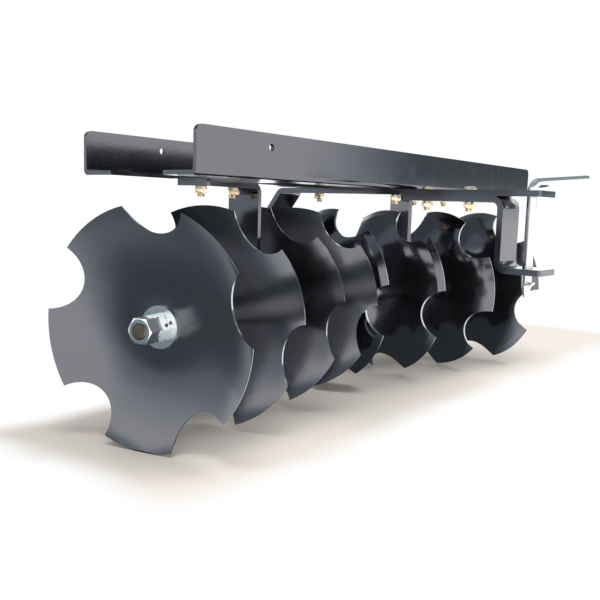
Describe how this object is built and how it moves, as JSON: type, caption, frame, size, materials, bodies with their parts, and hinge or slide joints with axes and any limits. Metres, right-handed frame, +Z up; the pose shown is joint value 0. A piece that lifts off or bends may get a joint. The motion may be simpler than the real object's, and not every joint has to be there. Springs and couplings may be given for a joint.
{
  "type": "disc harrow",
  "caption": "Garden-tractor disc harrow: two gangs of notched dished discs under a frame of two angle irons, with a drawbar and a pinned clevis hitch.",
  "frame": {"origin": "on the ground, at the centre of the part's own box", "axes": "+X along the angle irons, -Y towards the hitch (the way it is pulled), +Z up"},
  "size_m": [0.8834, 0.5334, 0.3608],
  "materials": {
    "disc": "gloss",
    "frame_paint": "gloss",
    "bolt": "satin",
    "pin": "satin",
    "hub_fastener": "satin",
    "axle": "satin",
    "spool": "satin",
    "bearing": "satin"
  },
  "bodies": {
    "frame": {"front_angle_iron": "frame_paint", "rear_angle_iron": "frame_paint", "drawbar_bolts": "bolt", "hitch_bolts": "bolt", "drawbar": "frame_paint", "hitch_strap": "frame_paint", "hitch_pin": "pin", "pin_clip": "pin", "left_gang_plate": "frame_paint", "left_hanger": "frame_paint", "left_hanger_bolts": "bolt", "left_bearing": "bearing", "right_gang_plate": "frame_paint", "right_hanger": "frame_paint", "right_hanger_bolts": "bolt", "right_bearing": "bearing"},
    "left_gang": {"left_axle": "axle", "left_hub_washer": "hub_fastener", "left_hub_nut": "hub_fastener", "left_back_washers": "hub_fastener", "disc_1": "disc", "disc_2": "disc", "disc_3": "disc", "disc_4": "disc", "left_outer_spool": "spool", "left_outer_bearing_spool": "spool", "left_inner_bearing_spool": "spool", "left_inner_spool": "spool"},
    "right_gang": {"right_axle": "axle", "right_hub_washer": "hub_fastener", "right_hub_nut": "hub_fastener", "right_back_washers": "hub_fastener", "disc_8": "disc", "disc_7": "disc", "disc_6": "disc", "disc_5": "disc", "right_outer_spool": "spool", "right_outer_bearing_spool": "spool", "right_inner_bearing_spool": "spool", "right_inner_spool": "spool"}
  },
  "joints": [
    {"name": "left_gang_spin", "type": "hinge", "parent": "frame", "child": "left_gang", "pos_m": [-0.1975, 0.09491, 0.1397], "axis": [0.972, 0.2351, 0], "continuous": true},
    {"name": "right_gang_spin", "type": "hinge", "parent": "frame", "child": "right_gang", "pos_m": [0.1975, 0.09491, 0.1397], "axis": [0.972, -0.2351, 0], "continuous": true}
  ]
}
